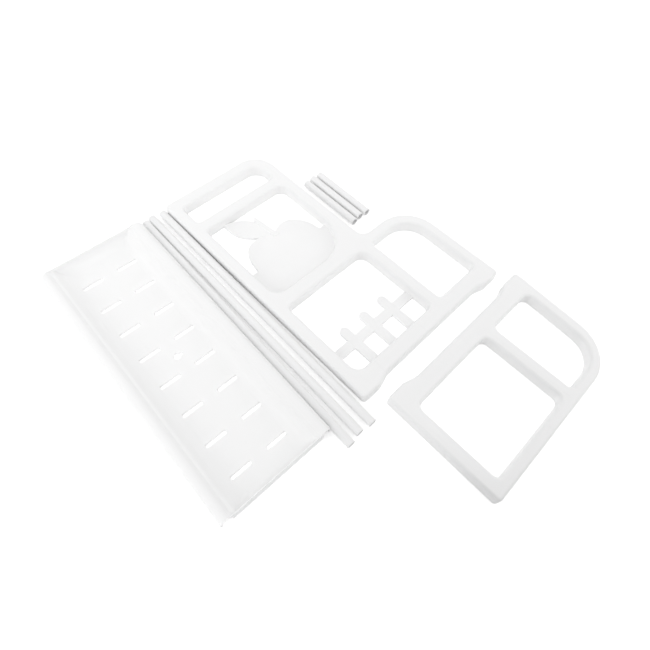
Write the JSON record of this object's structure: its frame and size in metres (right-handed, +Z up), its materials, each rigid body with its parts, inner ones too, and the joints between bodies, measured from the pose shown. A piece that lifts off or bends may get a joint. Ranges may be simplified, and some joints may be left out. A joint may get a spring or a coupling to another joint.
{
  "type": "spice rack",
  "caption": "Knock-down tiered spice rack laid out flat: slotted tray with hooked sides, coated tubes and moulded side panels with windows, a fruit cut-out and a picket rail.",
  "frame": {"origin": "on the table under the middle of the layout's bounding box", "axes": "+X along the tubes, from the tall panel's top towards its feet; +Y from the tray towards the panels' front edges; +Z up from the table"},
  "size_m": [0.5198, 0.44, 0.0175],
  "materials": {
    "panel_plastic": "satin moulded white",
    "tray_plastic": "smooth satin white",
    "tube_coating": "white powder coat"
  },
  "bodies": {
    "tall_side_panel": {"tall_side_panel": "panel_plastic"},
    "low_side_panel": {"low_side_panel": "panel_plastic"},
    "slotted_tray": {"slotted_tray": "tray_plastic"},
    "long_tube_1": {"long_tube_1": "tube_coating"},
    "long_tube_2": {"long_tube_2": "tube_coating"},
    "long_tube_3": {"long_tube_3": "tube_coating"},
    "short_tube_1": {"short_tube_1": "tube_coating"},
    "short_tube_2": {"short_tube_2": "tube_coating"},
    "short_tube_3": {"short_tube_3": "tube_coating"}
  },
  "joints": [
    {"name": "low_side_panel_lift", "type": "slide", "parent": "tall_side_panel", "child": "low_side_panel", "axis": [0, 0, 1], "range_m": [0, 0.1]},
    {"name": "slotted_tray_lift", "type": "slide", "parent": "tall_side_panel", "child": "slotted_tray", "axis": [0, 0, 1], "range_m": [0, 0.1]},
    {"name": "long_tube_1_lift", "type": "slide", "parent": "tall_side_panel", "child": "long_tube_1", "axis": [0, 0, 1], "range_m": [0, 0.1]},
    {"name": "long_tube_2_lift", "type": "slide", "parent": "tall_side_panel", "child": "long_tube_2", "axis": [0, 0, 1], "range_m": [0, 0.1]},
    {"name": "long_tube_3_lift", "type": "slide", "parent": "tall_side_panel", "child": "long_tube_3", "axis": [0, 0, 1], "range_m": [0, 0.1]},
    {"name": "short_tube_1_lift", "type": "slide", "parent": "tall_side_panel", "child": "short_tube_1", "axis": [0, 0, 1], "range_m": [0, 0.1]},
    {"name": "short_tube_2_lift", "type": "slide", "parent": "tall_side_panel", "child": "short_tube_2", "axis": [0, 0, 1], "range_m": [0, 0.1]},
    {"name": "short_tube_3_lift", "type": "slide", "parent": "tall_side_panel", "child": "short_tube_3", "axis": [0, 0, 1], "range_m": [0, 0.1]}
  ]
}
